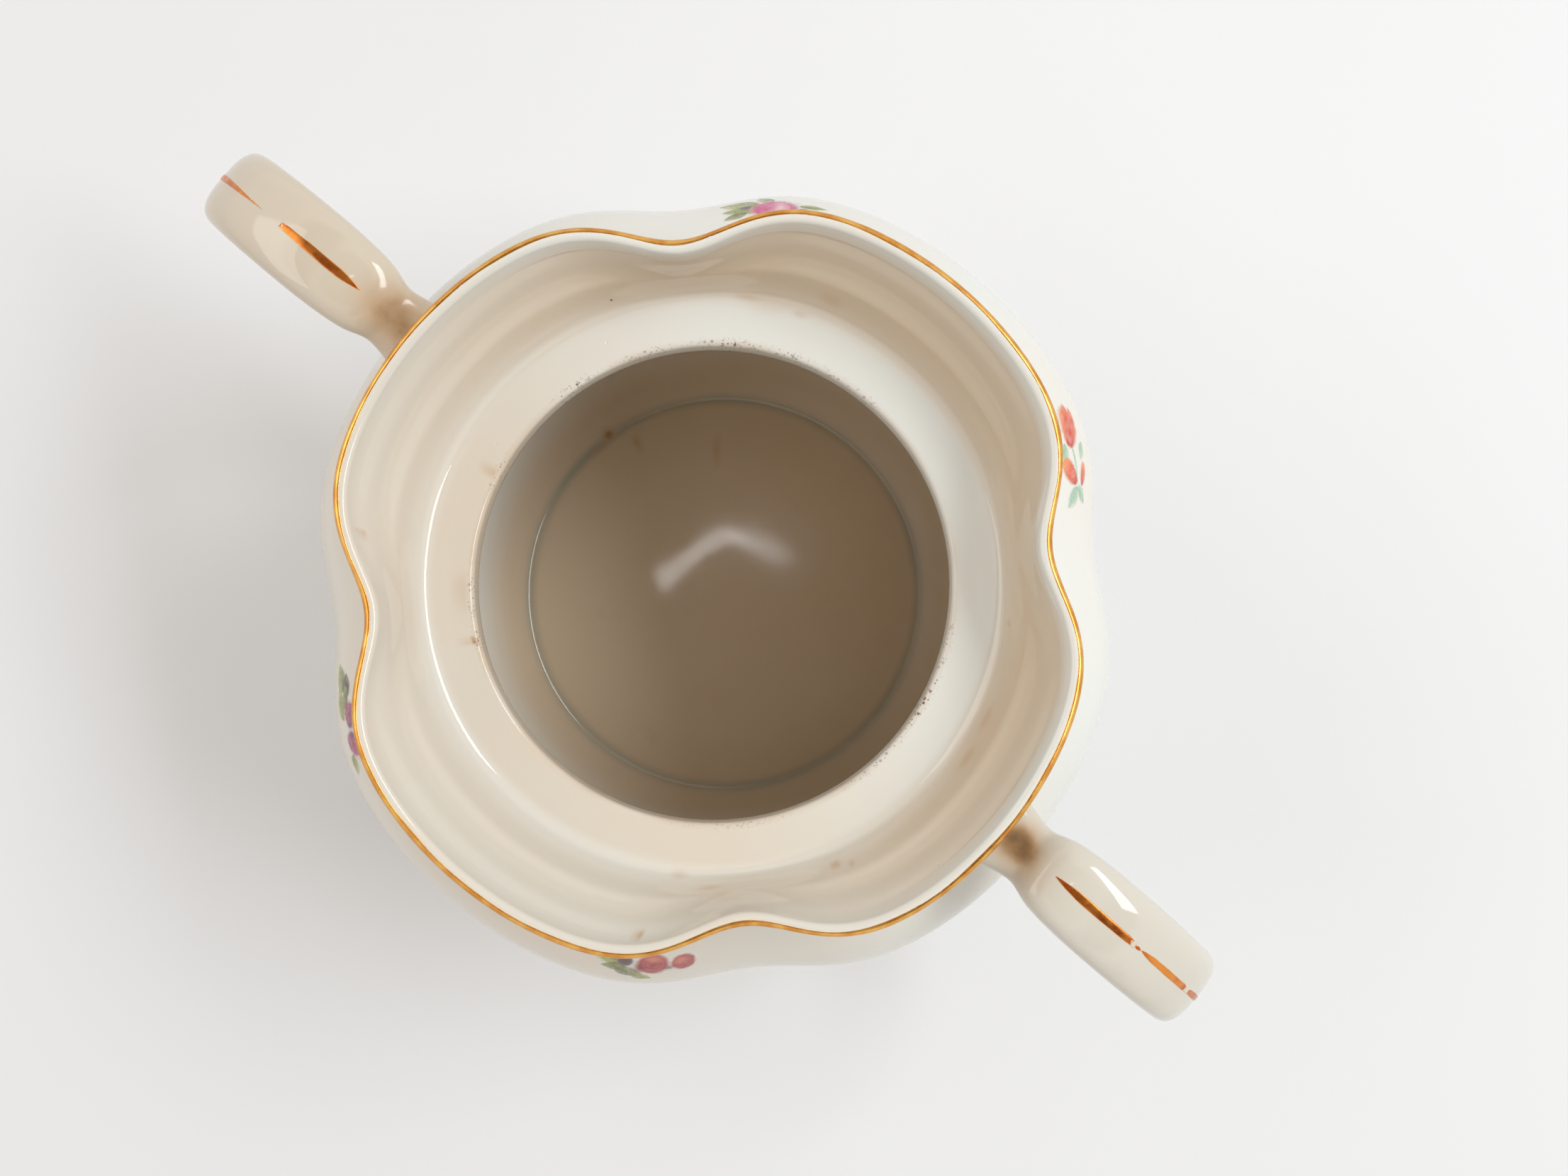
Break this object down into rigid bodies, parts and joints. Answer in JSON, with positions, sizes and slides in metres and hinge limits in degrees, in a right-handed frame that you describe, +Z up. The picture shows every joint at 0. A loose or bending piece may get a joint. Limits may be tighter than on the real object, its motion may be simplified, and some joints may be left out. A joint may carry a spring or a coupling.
{
  "type": "two-handled sugar bowl",
  "caption": "Lidless porcelain pot for sugar or cream with a four-lobed bulbous body, gilt scalloped lip, inner ledge with a round opening and opposed looped strap handles.",
  "frame": {"origin": "centre of the foot ring, on the plane that it stands on", "axes": "+X through the middle of the right handle, +Y across the handles, +Z up through the mouth"},
  "size_m": [0.1761, 0.1196, 0.0881],
  "materials": {
    "glazed_body": "clear glossy glaze over white porcelain, faintly green, with small specks",
    "glazed_handle": "clear glossy glaze over white porcelain",
    "joint_slip": "glossy glaze pooled over the slip joint",
    "gold": "fired bright gold, worn in places",
    "enamel_orange": "fired on-glaze enamel, glossy",
    "enamel_pink": "fired on-glaze enamel, glossy",
    "enamel_violet": "fired on-glaze enamel, glossy",
    "enamel_red": "fired on-glaze enamel, glossy"
  },
  "bodies": {
    "root": {"bowl_body": "glazed_body", "left_handle": "glazed_handle", "right_handle": "glazed_handle", "left_handle_upper_slip": "joint_slip", "left_handle_lower_slip": "joint_slip", "right_handle_upper_slip": "joint_slip", "right_handle_lower_slip": "joint_slip", "lip_gilding": "gold", "left_handle_gilding": "gold", "right_handle_gilding": "gold", "tulip_transfer": "enamel_orange", "pink_rose_transfer": "enamel_pink", "violet_transfer": "enamel_violet", "red_rose_transfer": "enamel_red", "front_bouquet_transfer": "enamel_pink", "back_bouquet_transfer": "enamel_pink"}
  },
  "joints": []
}
